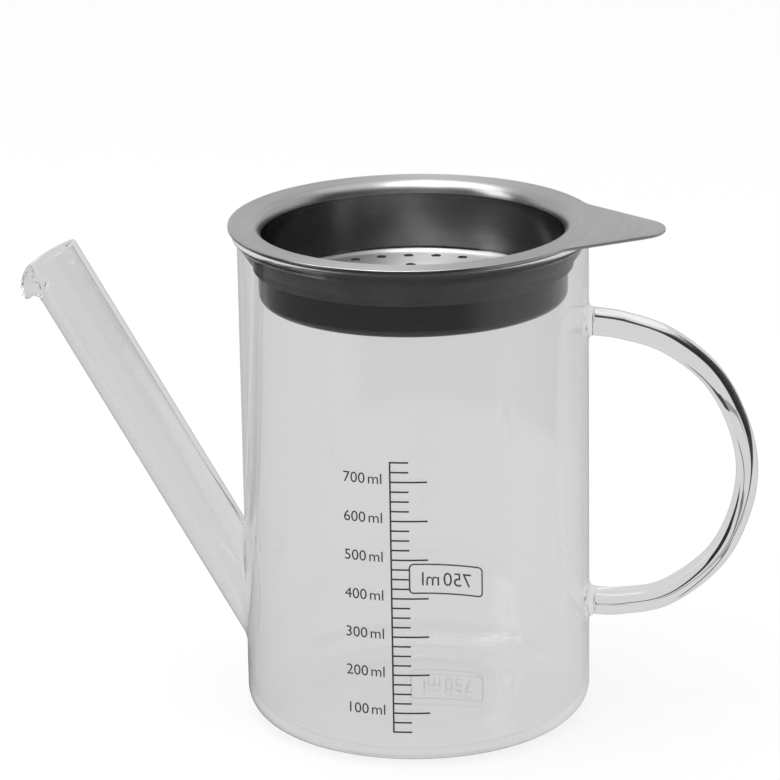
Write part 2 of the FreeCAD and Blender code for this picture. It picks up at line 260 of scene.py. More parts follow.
@dataclass(frozen=True)
class ClearGlass(Finish):
    """Blown borosilicate glass whose surface waves very slightly."""

    name: str = "clear_glass"
    tint: Colour = (0.988, 0.988, 0.988)
    ior: float = 1.47
    wave_across: float = 18.0
    wave_along: float = 7.0
    relief: float = 0.0008
    # Brightness of the painted grey glow inside the glass.
    painted_glow: float = 0.36

    def paint(self, graph: Graph) -> dict[str, object]:
        """Clear glass. Where light led on inside it reaches its last bounce, the glass glows grey with a
        painted glow instead of ending black.
        """
        x, y, z = graph.split(graph.place())
        spot = graph.joined(x * self.wave_across, y * self.wave_across, z * self.wave_along)
        kept = graph.node("ShaderNodeFresnel", None, {"IOR": self.ior}).ramp(0.98, 0.995)
        last = graph.ray("Glossy Depth").ramp(3.4, 3.6)
        return {
            "Base Color": self.tint,
            "Transmission Weight": 1.0,
            "Roughness": 0.0,
            "IOR": self.ior,
            # Painted glow: grey emission where total inner reflection meets the last glossy bounce.
            "Emission Color": graph.mix(kept * last, (0.0, 0.0, 0.0), (self.painted_glow,) * 3),
            "Emission Strength": 1.0,
            "Normal": graph.bump(graph.noise(spot, 1.0, 1.0, 0.4), 0.12, self.relief),
        }


@dataclass(frozen=True)
class FiredPrint(Finish):
    """Grey enamel fired on the glass, a little uneven at the screen's mesh."""

    name: str = "fired_print"
    ink: Colour = (0.030, 0.030, 0.031)

    def paint(self, graph: Graph) -> dict[str, object]:
        """Satin enamel with fine grain."""
        grain = graph.noise(graph.place(), 3500.0, 2.0)
        return {
            "Base Color": graph.mix(grain.ramp(0.35, 0.75), self.ink, lighter(self.ink, 1.5, 0.01)),
            "Roughness": 0.42 + grain * 0.15,
        }


@dataclass(frozen=True)
class Silicone(Finish):
    """Dark grey moulded silicone with a fine matt skin."""

    name: str = "dark_silicone"
    colour: Colour = (0.036, 0.036, 0.037)

    def paint(self, graph: Graph) -> dict[str, object]:
        """Satin rubber, dusty in its fine grain."""
        place = graph.place()
        grain = graph.noise(place, 900.0, 4.0)
        broad = graph.noise(place, 60.0, 2.0)
        return {
            "Base Color": graph.mix(broad.ramp(0.3, 0.8), self.colour, lighter(self.colour, 1.6, 0.008)),
            "Roughness": 0.45 + grain * 0.18,
            "Normal": graph.bump(grain, 0.25, 0.0001),
        }


@dataclass(frozen=True)
class BrushedSteel(Finish):
    """Stainless steel, brushed in circles round the cup's axis."""

    name: str = "brushed_steel"
    colour: Colour = (0.62, 0.62, 0.615)
    roughness: float = 0.30
    spread: float = 0.8

    def paint(self, graph: Graph) -> dict[str, object]:
        """Fine circular scratches that spread the light across themselves."""
        place = graph.place()
        x, y, z = graph.split(place)
        radius = (x * x + y * y).root()
        angle = y.angle_to(x)

        def drawn(pitch: float, turn: float, detail: float, roughness: float) -> Signal:
            """Noise of one frequency across and another round the axis."""
            spot = graph.joined(radius * pitch, z * pitch, angle * turn)
            return graph.noise(spot, 1.0, detail, roughness)

        scratch = drawn(5200.0, 3.0, 3.0, 0.6) * 0.65 + drawn(900.0, 1.5, 2.0, 0.5) * 0.35
        cloud = graph.noise(place, 45.0, 2.0)
        return {
            "Base Color": graph.mix(scratch.ramp(0.3, 0.7), lighter(self.colour, 0.80), self.colour),
            "Metallic": 1.0,
            "Roughness": self.roughness - 0.05 + scratch * 0.10 + cloud * 0.03,
            "Anisotropic": self.spread,
            "Anisotropic Rotation": 0.25,
            "Normal": graph.bump(scratch, 0.10, 0.00004),
        }


@dataclass(frozen=True)
class PunchedEdge(Finish):
    """The raw, dull edge of a punched hole."""

    name: str = "punched_edge"
    colour: Colour = (0.10, 0.10, 0.10)

    def paint(self, graph: Graph) -> dict[str, object]:
        """Torn steel, rough and dark."""
        torn = graph.noise(graph.place(), 2500.0, 3.0)
        return {
            "Base Color": graph.mix(torn, self.colour, lighter(self.colour, 1.5)),
            "Metallic": 0.8,
            "Roughness": 0.5 + torn * 0.2,
        }


# Mesh helpers


def mesh_object(name: str, points: Sequence[Vector], faces: Sequence[Sequence[int]]) -> bpy.types.Object:
    """An object from points in millimetres and faces.

    Args:
        name: the object's name.
        points: corner positions in millimetres.
        faces: corner numbers of each face.

    Returns:
        The linked object, smooth shaded, its normals facing out.
    """
    mesh = bpy.data.meshes.new(name)
    mesh.from_pydata([tuple(Vector(p) * MM) for p in points], [], [tuple(f) for f in faces])
    work = bmesh.new()
    work.from_mesh(mesh)
    bmesh.ops.remove_doubles(work, verts=work.verts, dist=1e-7)
    bmesh.ops.recalc_face_normals(work, faces=work.faces)
    work.to_mesh(mesh)
    work.free()
    mesh.shade_smooth()
    made = bpy.data.objects.new(name, mesh)
    bpy.context.scene.collection.objects.link(made)
    return made


def combine(base: bpy.types.Object, tools: Sequence[bpy.types.Object], how: Operation) -> None:
    """Join closed meshes to a base or cut them from it, then drop them."""
    for tool in tools:
        step = base.modifiers.new("step", "BOOLEAN")
        step.operation = how.value
        step.solver = "EXACT"
        step.object = tool
        bpy.context.view_layer.update()
        result = bpy.data.meshes.new_from_object(base.evaluated_get(bpy.context.evaluated_depsgraph_get()))
        base.modifiers.clear()
        waste = (base.data, tool.data)
        base.data = result
        bpy.data.objects.remove(tool)
        for mesh in waste:
            bpy.data.meshes.remove(mesh)


def soften(made: bpy.types.Object, degrees: float) -> None:
    """Shade smooth with edges sharper than an angle kept crisp."""
    made.data.shade_smooth()
    made.data.set_sharp_from_angle(angle=math.radians(degrees))


def coat(piece: bpy.types.Object, *materials: bpy.types.Material) -> None:
    """Give a piece its materials, the first one everywhere, and note its size."""
    piece.data.materials.clear()
    for material in materials:
        piece.data.materials.append(material)
    LOG.info("%s: %d faces", piece.name, len(piece.data.polygons))


def around(steps: int) -> list[float]:
    """Evenly spaced angles of one turn, in radians."""
    return [2.0 * math.pi * i / steps for i in range(steps)]


def parts(steps: int) -> list[float]:
    """Evenly spaced shares from 0 to 1, both included."""
    return [i / steps for i in range(steps + 1)]


def skin(name: str, columns: Sequence[Sequence[Vector]], poles: Sequence[Vector] = ()) -> bpy.types.Object:
    """A closed skin through columns of points that stand side by side round a piece.

    Args:
        name: the object's name.
        columns: lines of the same number of points in millimetres, the last beside the first.
        poles: the points that close both ends. Without them each column is closed on itself.

    Returns:
        The object.
    """
    count = len(columns[0])
    points = [p for column in columns for p in column] + list(poles)
    first = len(columns) * count
    faces: list[list[int]] = []
    for i in range(len(columns)):
        a = i * count
        b = (i + 1) % len(columns) * count
        spans = count - 1 if poles else count
        faces.extend([a + k, b + k, b + (k + 1) % count, a + (k + 1) % count] for k in range(spans))
        if poles:
            faces.append([first, b, a])
            faces.append([first + 1, a + count - 1, b + count - 1])
    return mesh_object(name, points, faces)


def upright(profile: Profile, angle: float) -> list[Vector]:
    """A profile of radii and heights, stood up at an angle round Z."""
    return [Vector((r * math.cos(angle), r * math.sin(angle), z)) for r, z in profile]


def turned(name: str, profile: Profile, segments: int) -> bpy.types.Object:
    """A closed solid turned about Z in some steps, whose profile starts and ends on the axis."""
    poles = [Vector((0, 0, profile[end][1])) for end in (0, -1)]
    return skin(name, [upright(profile[1:-1], angle) for angle in around(segments)], poles)


def rounded(corners: Sequence[tuple[float, float, float]], steps: int) -> Profile:
    """A closed profile whose corners are eased in some steps.

    Args:
        corners: (radius, height, distance from the corner at which the easing starts) in order.
    """
    out: Profile = []
    for k, (r, z, ease) in enumerate(corners):
        here = Vector((r, z))
        before = (Vector(corners[k - 1][:2]) - here).normalized() * ease + here
        after = (Vector(corners[(k + 1) % len(corners)][:2]) - here).normalized() * ease + here
        for t in parts(steps):
            spot = before * (1 - t) ** 2 + here * (2 * t * (1 - t)) + after * t**2
            out.append((spot.x, spot.y))
    return out


def arc(centre: tuple[float, float], radius: float, start: float, end: float, steps: int) -> Profile:
    """Points of an arc between two angles in degrees, both ends included."""
    angles = (math.radians(start + (end - start) * t) for t in parts(steps))
    return [(centre[0] + radius * math.cos(a), centre[1] + radius * math.sin(a)) for a in angles]


def eased(a: tuple[float, float], b: tuple[float, float], steps: int) -> Profile:
    """An S curve from a to b that leaves and arrives level, without its two ends."""
    pull = (b[0] - a[0]) / 2.2
    out: Profile = []
    for t in parts(steps)[1:-1]:
        s = 1.0 - t
        r = s**3 * a[0] + 3 * s * s * t * (a[0] + pull) + 3 * s * t * t * (b[0] - pull) + t**3 * b[0]
        z = (s**3 + 3 * s * s * t) * a[1] + (3 * s * t * t + t**3) * b[1]
        out.append((r, z))
    return out


def catmull(points: Sequence[tuple[float, float]], per_span: int) -> Profile:
    """A smooth line through points, with some steps from one point to the next."""
    pads = [points[0], *points, points[-1]]
    out: Profile = []
    for k in range(1, len(pads) - 2):
        p0, p1, p2, p3 = (Vector(pads[k + d]) for d in (-1, 0, 1, 2))
        for t in parts(per_span)[:-1]:
            bend = 2 * p0 - 5 * p1 + 4 * p2 - p3
            twist = 3 * p1 - p0 - 3 * p2 + p3
            spot = 0.5 * (2 * p1 + (p2 - p0) * t + bend * t * t + twist * t**3)
            out.append((spot.x, spot.y))
    out.append(tuple(points[-1]))
    return out


# The glass jug


@dataclass(frozen=True)
class Stem:
    """A round piece that stands on the jug's wall. Sizes in millimetres, its tilt in degrees from upright."""

    x: float
    z: float
    tilt: float
    radius: float

    def place(self, across: float, side: float, along: float) -> Vector:
        """A point given square to the stem in the plane it leans in, along Y, and up it from the wall."""
        c, s = math.cos(math.radians(self.tilt)), math.sin(math.radians(self.tilt))
        return Vector((self.x + across * c - along * s, side, self.z + across * s + along * c))

    def foot(self, angle: float, wall: float) -> Vector:
        """Where a line of its skin meets a wall of some radius."""
        across, side = self.radius * math.cos(angle), self.radius * math.sin(angle)
        low, high = -60.0, 60.0
        for _ in range(48):
            mid = (low + high) / 2.0
            low, high = (mid, high) if self.place(across, side, mid).xy.length < wall else (low, mid)
        return self.place(across, side, low)

    def out(self, spot: Vector) -> Vector:
        """Its outward normal at a point near its skin."""
        return (spot - self.middle(spot)).normalized()

    def middle(self, spot: Vector) -> Vector:
        """The point of its axis beside a point."""
        centre = self.place(0.0, 0.0, 0.0)
        axis = (self.place(0.0, 0.0, 100.0) - centre).normalized()
        return centre + axis * (spot - centre).dot(axis)


@dataclass
class GlassJug:
    """The jug, spout, lip, handle and their welds as one melted piece. Sizes in millimetres.

    The skin of the spout's mouth, outside and inside, is given twice: plain, and in the middle of the lip.
    Each point there is how far it stands out from the tube and its height from the mouth.
    """

    radius: float = 53.0
    wall: float = 1.8
    rim: float = 153.8
    bead_radius: float = 54.5
    bead_height: float = 2.6
    corner: float = 8.5
    base: float = 2.6
    kick: float = 1.2
    kick_radius: float = 24.0
    kick_slope: float = 16.0
    rim_ease: float = 0.5
    spout_tilt: float = 29.6
    spout_root: float = 38.9
    spout_length: float = 119.4
    spout_radius: float = 9.2
    spout_wall: float = 1.6
    mouth: float = 13.0
    outside: Shapes = (
        (
            (0, -13.0), (0, -11.0), (0, -9.4), (0, -8.2), (0, -7.2), (0, -6.2), (0, -5.2), (0, -4.4),
            (0, -3.6), (0, -2.8), (0, -2.1), (0, -1.4), (0, -0.8), (-0.08, -0.35), (-0.28, -0.08),
            (-0.6, 0.0), (-0.8, 0.0),
        ),
        (
            (0, -13.0), (0.05, -11.2), (0.35, -9.9), (0.9, -8.85), (1.7, -8.5), (2.6, -8.6), (3.6, -8.45),
            (4.15, -7.6), (4.3, -6.6), (4.1, -5.7), (3.45, -4.55), (2.4, -2.95), (1.3, -1.75), (0.4, -0.95),
            (-0.3, -0.45), (-0.7, -0.22), (-0.95, -0.12),
        ),
    )
    inside: Shapes = (
        (
            (0, -13.0), (0, -10.0), (0, -7.0), (0, -4.5), (0, -2.5), (0, -1.2), (0, -0.8), (0.08, -0.35),
            (0.28, -0.08), (0.6, 0.02), (0.82, 0.02),
        ),
        (
            (0, -13.0), (0, -10.5), (0.05, -8.4), (0.12, -6.6), (0.2, -5.1), (0.28, -3.9), (0.36, -2.9),
            (0.44, -2.0), (0.52, -1.2), (0.6, -0.5), (0.68, -0.08),
        ),
    )
    handle_top: float = 125.4
    handle_bottom: float = 35.8
    handle_reach: float = 48.2
    handle_root: float = 6.0
    handle_end: float = 4.35
    handle_bend: float = 3.4
    bead_sunk: float = 0.02
    bead_fullness: float = 0.05
    bead_root: float = 0.8
    handle_path: tuple[tuple[float, float], ...] = (
        (0.0, 1.0), (0.218, 0.986), (0.492, 0.938), (0.76, 0.827), (0.927, 0.672),
        (1.0, 0.5), (0.95, 0.327), (0.795, 0.166), (0.494, 0.036), (0.197, 0.0), (0.0, 0.0),
    )
    segments: int = 216
    nodes: tuple[str, ...] = (
        "jug_wall", "spout_tube", "pouring_lip", "spout_weld",
        "handle_rod", "upper_handle_weld", "lower_handle_weld",
    )
    glass: ClearGlass = ClearGlass()

    @property
    def bore(self) -> float:
        """The jug's inner radius."""
        return self.radius - self.wall

    def floor_line(self, level: float) -> Profile:
        """The pushed-up middle of the floor and its slope down to a level."""
        high = level + self.kick
        kick_out = self.kick_radius + self.kick_slope
        line: Profile = [(r, high) for r in (0.0, 8.0, 16.0, self.kick_radius)]
        return line + eased((self.kick_radius, high), (kick_out, level), 14) + [(kick_out, level)]

    def outer_profile(self) -> Profile:
        """The outside of the blown body, from the middle of the base to the middle of the rim."""
        bead = self.bead_height / 2.0
        out = self.bead_radius - bead
        low = self.rim - self.bead_height
        neck = low - 3.0
        line = self.floor_line(0.0)
        line += arc((self.radius - self.corner, self.corner), self.corner, -90, 0, 16)
        line += [(self.radius, self.corner + (neck - self.corner) * i / 24.0) for i in range(1, 25)]
        line += [(self.radius + 0.02, neck + 1.4), (self.radius + 0.12, low - 0.5)]
        line += arc((out, low + bead), bead, -65, 90, 12)
        return line + [(out - 1.0, self.rim), (40.0, self.rim), (0.0, self.rim)]

    def inner_profile(self) -> Profile:
        """The hollow of the blown body, from the middle of its floor to above the rim."""
        corner = self.corner - self.wall
        low = self.base + corner
        top = self.rim - self.rim_ease
        mouth = self.bore + self.rim_ease
        line = self.floor_line(self.base)
        line += arc((self.bore - corner, low), corner, -90, 0, 14)
        line += [(self.bore, low + (top - low) * i / 24.0) for i in range(1, 25)]
        line += arc((mouth, top), self.rim_ease, 180, 90, 6)[1:]
        return line + [(mouth, self.rim + 4.0), (0.0, self.rim + 4.0)]

    @property
    def spout(self) -> Stem:
        """The spout's tube."""
        return Stem(-self.radius, self.spout_root, self.spout_tilt, self.spout_radius)

    @staticmethod
    def lip_share(angle: float) -> float:
        """How much of the pouring lip stands at an angle round the spout."""
        off = abs(math.degrees(angle) - 180.0)
        share = min(1.0, max(0.0, (60.0 - off) / 50.0))
        return share * share * (3.0 - 2.0 * share)

    def spout_skin(
        self, name: str, radius: float, shapes: Shapes, start: float, top: float = 0.0
    ) -> bpy.types.Object:
        """A closed solid along the spout's axis.

        Args:
            name: the object's name.
            radius: the tube's radius on this skin.
            shapes: how the skin runs near the mouth, plain and at the lip.
            start: where the solid begins, along the spout.
            top: how far past the mouth it ends.

        Returns:
            The object.
        """
        straight = self.spout_length - self.mouth - start
        columns: list[list[Vector]] = []
        for angle in around(120):
            share = self.lip_share(angle)
            near = [
                (radius + a[0] + (b[0] - a[0]) * share, a[1] + (b[1] - a[1]) * share) for a, b in zip(*shapes)
            ]
            line = [(radius, start + straight * i / 30.0) for i in range(30)]
            line += [(r, self.spout_length + h) for r, h in catmull(near, 3)]
            if top > 0.0:
                line.append((line[-1][0], self.spout_length + top))
            c, s = math.cos(angle), math.sin(angle)
            columns.append([self.spout.place(r * c, r * s, along) for r, along in line])
        ends = [self.spout.place(0, 0, along) for along in (start, self.spout_length + top)]
        return skin(name, columns, ends)

    def handle_line(self) -> Profile:
        """The handle's centre line as (x, z) points."""
        reach, low = self.handle_reach, self.handle_bottom
        height = self.handle_top - low
        knots = [(self.radius + u * reach, low + w * height) for u, w in self.handle_path]
        inside = self.radius - self.handle_root
        return catmull([(inside, knots[0][1] + 0.25), *knots, (inside, knots[-1][1] + 0.1)], 14)

    def handle_skin(self) -> bpy.types.Object:
        """The bent rod, thinner at the bend."""
        line = self.handle_line()
        lengths = [0.0]
        for a, b in zip(line, line[1:]):
            lengths.append(lengths[-1] + math.dist(a, b))
        rings = []
        for k, (x, z) in enumerate(line):
            before = line[max(0, k - 1)]
            after = line[min(len(line) - 1, k + 1)]
            tangent = Vector((after[0] - before[0], 0, after[1] - before[1])).normalized()
            normal = Vector((-tangent.z, 0, tangent.x))
            share = lengths[k] / lengths[-1]
            thin = min(1.0, 1.15 * (0.5 - 0.5 * math.cos(2.0 * math.pi * share)))
            radius = self.handle_end + (self.handle_bend - self.handle_end) * thin
            rings.append([
                Vector((x, radius * math.sin(angle), z)) + normal * radius * math.cos(angle)
                for angle in around(48)
            ])
        ends = [Vector((x, 0, z)) for x, z in (line[0], line[-1])]
        return skin("handle_skin", list(zip(*rings)), ends)

    def fillet(
        self, name: str, stem: Stem, sunk: float, size: Callable[[float], float]
    ) -> bpy.types.Object:
        """A concave bead of glass between the wall and a piece that stands on it.

        Args:
            name: the object's name.
            stem: the piece that stands on the wall.
            sunk: how far inside the piece's skin the bead ends.
            size: the bead's width for an angle round the piece.

        Returns:
            The object.
        """
        rings = []
        for angle in around(96):
            spot = stem.foot(angle, self.radius)
            wall = Vector((spot.x, spot.y, 0)).normalized()
            side = stem.out(spot)
            along = side.cross(wall).normalized()
            up = along.cross(side)
            up = up if up.dot(wall) > 0 else -up
            away = wall.cross(along)
            away = away if away.dot(side) > 0 else -away
            width = size(angle)
            high = spot + up * width
            on_piece = stem.middle(high) + stem.out(high) * (stem.radius - sunk)
            on_wall = spot + away * width
            flat = Vector((on_wall.x, on_wall.y, 0)).normalized() * (self.radius - self.bead_sunk)
            on_wall = Vector((flat.x, flat.y, on_wall.z))
            bend = spot + (on_piece + on_wall - 2.0 * spot) * self.bead_fullness
            curve = [(1 - t) ** 2 * on_piece + 2 * t * (1 - t) * bend + t * t * on_wall for t in parts(8)]
            deep = wall * self.bead_root
            rings.append([*curve, on_wall - deep - side * 0.3, spot - deep - side, on_piece - side])
        return skin(name, rings)

    def build(self) -> None:
        """Make the melted glass piece and put it on the jug's body."""
        piece = turned("glass_jug", self.outer_profile(), self.segments)
        spout = self.spout_skin("spout_skin", self.spout_radius, self.outside, start=-22.0)
        upper = Stem(self.radius, self.handle_top, -90.0, self.handle_end)
        lower = Stem(self.radius, self.handle_bottom, -90.0, self.handle_end)
        beads = [
            self.fillet("spout_bead", self.spout, self.bead_sunk, lambda a: 2.2 - 0.6 * math.cos(a)),
            self.fillet("upper_bead", upper, 0.06, lambda a: 2.0 + 0.4 * max(0.0, -math.sin(a))),
            self.fillet("lower_bead", lower, 0.06, lambda a: 2.2 + 1.2 * max(0.0, -math.sin(a))),
        ]
        combine(piece, [spout, self.handle_skin(), *beads], Operation.JOIN)
        hollow = turned("hollow", self.inner_profile(), self.segments)
        bore = self.spout_skin("bore", self.spout_radius - self.spout_wall, self.inside, start=-20.0, top=4.0)
        combine(piece, [hollow, bore], Operation.CUT)
        soften(piece, 32.0)
        coat(piece, self.glass.material())
        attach(piece, Body.JUG.value)
        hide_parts(*self.nodes)


# The print


@dataclass
class Scale:
    """The fired scale: its marks stay as CAD, its numerals are added. Sizes in millimetres."""

    radius: float = 53.02
    film: float = 0.05
    first_height: float = 11.5
    step: float = 25000.0 / (math.pi * 51.2**2)
    digit_height: float = 3.3
    word_height: float = 4.6
    right_edge: float = -2.2
    line_offset: float = 1.15
    frame_offset: float = 3.0
    frame_level: float = 21.9
    lift: float = 0.9
    capital: float = 0.7
    strip: float = 1.25
    ink: FiredPrint = FiredPrint()

    def label(self, name: str, words: str, ink: bpy.types.Material, height: float, size: float,
              middle: float, anchor: str, face: float) -> None:
        """Words laid on the wall, as a piece of the print.

        Args:
            name: the piece's name.
            words: what it says.
            ink: the print's material.
            height: the height of the words' middle.
            size: the height of a capital.
            middle: the place along the wall, from the facing line, where the words are anchored.
            anchor: the edge of the words that is placed there.
            face: the angle round the jug of the facing line.
        """
        curve = bpy.data.curves.new(name, "FONT")
        curve.body = words
        curve.size = size / self.capital
        curve.align_x = anchor
        curve.space_word = 0.45
        curve.resolution_u = 4
        holder = bpy.data.objects.new(name, curve)
        bpy.context.scene.collection.objects.link(holder)
        bpy.context.view_layer.update()
        mesh = bpy.data.meshes.new_from_object(holder.evaluated_get(bpy.context.evaluated_depsgraph_get()))
        bpy.data.objects.remove(holder)
        bpy.data.curves.remove(curve)
        levels = [v.co.y for v in mesh.vertices]
        centre = (min(levels) + max(levels)) / 2.0
        work = bmesh.new()
        work.from_mesh(mesh)
        bpy.data.meshes.remove(mesh)
        for cut in range(-19, 20):
            bmesh.ops.bisect_plane(
                work, geom=work.verts[:] + work.edges[:] + work.faces[:],
                plane_co=(middle + cut * self.strip, 0, 0), plane_no=(1, 0, 0),
            )
        bmesh.ops.solidify(work, geom=work.faces[:], thickness=-self.film)
        points = []
        for vertex in work.verts:
            angle = face + (middle + vertex.co.x) / self.radius
            reach = self.radius + max(0.0, vertex.co.z)
            level = height + vertex.co.y - centre
            points.append(Vector((reach * math.cos(angle), reach * math.sin(angle), level)))
        work.verts.index_update()
        faces = [[vertex.index for vertex in flat.verts] for flat in work.faces]
        work.free()
        piece = mesh_object(name, points, faces)
        piece.data.shade_flat()
        coat(piece, ink)
        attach(piece, Body.JUG.value)

    def build(self) -> None:
        """Add the numerals and the frame's words, and give the printed marks their finish."""
        ink = self.ink.material()
        front = -math.pi / 2.0
        for volume in range(100, 800, 100):
            height = self.first_height + (volume - 50) / 25.0 * self.step
            self.label(
                f"numeral_{volume}", f"{volume} ml", ink, height + self.lift, self.digit_height,
                self.right_edge - self.line_offset, "RIGHT", front,
            )
        back = math.pi / 2.0 - self.frame_offset / self.radius
        self.label("frame_words", "750 ml", ink, self.frame_level, self.word_height, 0.0, "CENTER", back)
        for node in ("scale_print", "capacity_frame"):
            for slot in bpy.data.objects[node].material_slots:
                slot.material = ink


# The seal


@dataclass
class Seal:
    """The silicone ring, turned with its corners eased. Sizes in millimetres."""

    rim: float = 153.8
    bore: float = 46.75
    leaf: float = 54.3
    leaf_height: float = 0.75
    contact: float = 51.15
    foot: float = 48.4
    clearance: float = 0.05
    finish: Silicone = Silicone()

    def section(self) -> list[tuple[float, float, float]]:
        """The corners of the cut face: radius, height and how far each is eased."""
        low = self.rim + self.clearance
        high = low + self.leaf_height
        bottom = self.rim - 11.0
        step = self.rim - 8.2
        return [
            (self.bore, bottom, 0.15), (self.foot, bottom, 0.9), (self.foot, step, 0.25),
            (self.foot + 0.8, step + 0.5, 0.25), (self.contact, self.rim - 3.6, 0.7),
            (self.contact, low, 0.15), (self.leaf, low, 0.3), (self.leaf, high, 0.3),
            (self.bore + 4.0, high, 0.2), (self.bore, self.rim - 2.85, 0.15),
        ]

    def build(self) -> None:
        """Make the ring and put it on its body."""
        profile = rounded(self.section(), 4)
        piece = skin("seal", [upright(profile, angle) for angle in around(240)])
        soften(piece, 40.0)
        coat(piece, self.finish.material())
        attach(piece, Body.SEAL.value)
        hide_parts("seal_ring")


# The strainer


@dataclass
class Strainer:
    """The pressed steel cup with flange, tab and drilled floor. Sizes in millimetres."""

    top: float = 155.65
    sheet: float = 0.8
    flange_sheet: float = 1.0
    flange_radius: float = 55.7
    cup_radius: float = 46.7
    depth: float = 23.2
    shoulder: float = 3.6
    cup_corner: float = 2.8
    tip_radius: float = 11.0
    tip: float = 76.5
    half_angle: float = 37.0
    blend: float = 14.0
    turn: float = -3.0
    hole_radius: float = 1.55
    rings: tuple[tuple[float, int, float], ...] = (
        (41.0, 30, 6.0), (30.5, 20, 11.5), (20.0, 12, 0.0), (9.5, 6, 0.0),
    )
    segments: int = 360
    steel: BrushedSteel = BrushedSteel()
    # Copies of the steel in other colours: the inner wall darker as painted shade, the outer wall much darker
    # as painted shade, the floor lighter as painted light.
    inner_wall_painted_shade: BrushedSteel = BrushedSteel("drawn_steel_painted_shade", (0.29, 0.29, 0.287), 0.19, 0.7)
    outer_wall_painted_shade: BrushedSteel = BrushedSteel("steel_painted_shade_outside", (0.055, 0.055, 0.055), 0.30, 0.7)
    floor_painted_light: BrushedSteel = BrushedSteel("spun_steel_painted_light", (0.76, 0.76, 0.755), 0.42, 0.8)
    edge: PunchedEdge = PunchedEdge()

    def finish_at(self, place: Vector, facing: Vector) -> int:
        """Which finish a face has, from its middle in millimetres and its normal.

        Returns:
            0 for the open steel, 1 for a hole's edge, 2 inside the cup's wall, 3 outside it, 4 for its floor.
            2 and 3 carry painted shade, 4 painted light.
        """
        floor = self.top - self.depth + self.sheet
        radius = place.xy.length
        inner = self.cup_radius - self.sheet
        if radius < inner - self.cup_corner:
            return 1 if abs(facing.z) < 0.1 and place.z < floor else 4
        if place.z > self.top - self.shoulder or radius > self.cup_radius + 0.2:
            return 0
        if facing.xy.dot(place.xy) < 0.0:
            return 2 if place.z > floor + 1.2 else 4
        return 3

    def centre_brushing(self, mesh: bpy.types.Mesh) -> None:
        """Let the brushing run round the cup's axis, not round the middle of the flange with its tab."""
        mesh.use_auto_texspace = False
        mesh.texspace_location = (0.0, 0.0, (self.top - self.depth / 2.0) * MM)
        mesh.texspace_size = (self.tip * MM, self.tip * MM, self.depth / 2.0 * MM)

    def outline(self, angle: float) -> float:
        """The flange's reach from the cup's axis, at an angle in radians from the middle of the tab."""
        off = abs(math.atan2(math.sin(angle), math.cos(angle)))
        delta = math.radians(self.half_angle)
        tip = Vector((self.tip - self.tip_radius, 0))
        normal = Vector((math.sin(delta), math.cos(delta)))
        along = Vector((-math.cos(delta), math.sin(delta)))
        base = tip + normal * (self.tip_radius + self.blend)
        b = base.dot(along)
        c = base.dot(base) - (self.flange_radius + self.blend) ** 2
        root = math.sqrt(b * b - c)
        run = -b - root if -b - root >= 0 else -b + root
        blend = base + along * run
        side = blend - normal * self.blend
        start = tip + normal * self.tip_radius
        on_circle = math.atan2(blend.y, blend.x)
        on_side = math.atan2(side.y, side.x)
        on_tip = math.atan2(start.y, start.x)
        ray = Vector((math.cos(off), math.sin(off)))
        if off >= on_circle:
            return self.flange_radius
        if off >= on_side:
            b = ray.dot(blend)
            return b - math.sqrt(max(0.0, b * b - blend.dot(blend) + self.blend**2))
        if off >= on_tip:
            return start.dot(normal) / ray.dot(normal)
        b = ray.dot(tip)
        return b + math.sqrt(max(0.0, b * b - tip.dot(tip) + self.tip_radius**2))

    def profile(self, edge: float) -> Profile:
        """The sheet's section, from the middle of the floor over the flange to below the floor."""
        inner = self.cup_radius - self.sheet
        bend = (inner + self.shoulder, self.top - self.shoulder)
        low = self.top - self.depth
        hub = (self.cup_radius - self.cup_corner, low + self.cup_corner)
        fall = bend[1] - hub[1]
        rim = 0.25
        lip = edge - rim
        under = self.shoulder - self.flange_sheet
        flat = self.top - self.flange_sheet
        spots = (0.0, 12.0, 26.0, 38.0)
        line: Profile = [(r, low + self.sheet) for r in spots]
        line += arc(hub, self.cup_corner - self.sheet, -90, 0, 10)
        line += [(inner, hub[1] + fall * i / 8.0) for i in range(1, 8)]
        line += arc(bend, self.shoulder, 180, 90, 14)
        line += [(bend[0] + (lip - bend[0]) * i / 6.0, self.top) for i in range(1, 6)]
        line += arc((lip, self.top - rim), rim, 90, 0, 4)
        line += arc((lip, flat + rim), rim, 0, -90, 4)
        line += [(lip + (bend[0] + 0.2 - lip) * i / 6.0, flat) for i in range(1, 6)]
        line += arc((self.cup_radius + under, self.top - self.shoulder), under, 90, 180, 10)
        line += [(self.cup_radius, bend[1] - fall * i / 8.0) for i in range(1, 8)]
        line += arc(hub, self.cup_corner, 0, -90, 10)
        return line + [(r, low) for r in reversed(spots)]

    def build(self) -> None:
        """Make the strainer and put it on its body."""
        turn = math.radians(self.turn)
        columns = [
            upright(self.profile(self.outline(angle))[1:-1], angle + turn) for angle in around(self.segments)
        ]
        low = self.top - self.depth
        piece = skin("strainer", columns, [Vector((0, 0, low + self.sheet)), Vector((0, 0, low))])
        combine(piece, [self.drills()], Operation.CUT)
        soften(piece, 30.0)
        # The walls' finishes carry painted shade, the floor's finish painted light.
        finishes = (self.steel, self.edge, self.inner_wall_painted_shade, self.outer_wall_painted_shade, self.floor_painted_light)
        coat(piece, *(finish.material() for finish in finishes))
        for face in piece.data.polygons:
            face.material_index = self.finish_at(face.center / MM, face.normal)
        self.centre_brushing(piece.data)
        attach(piece, Body.STRAINER.value)
        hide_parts("strainer_cup")

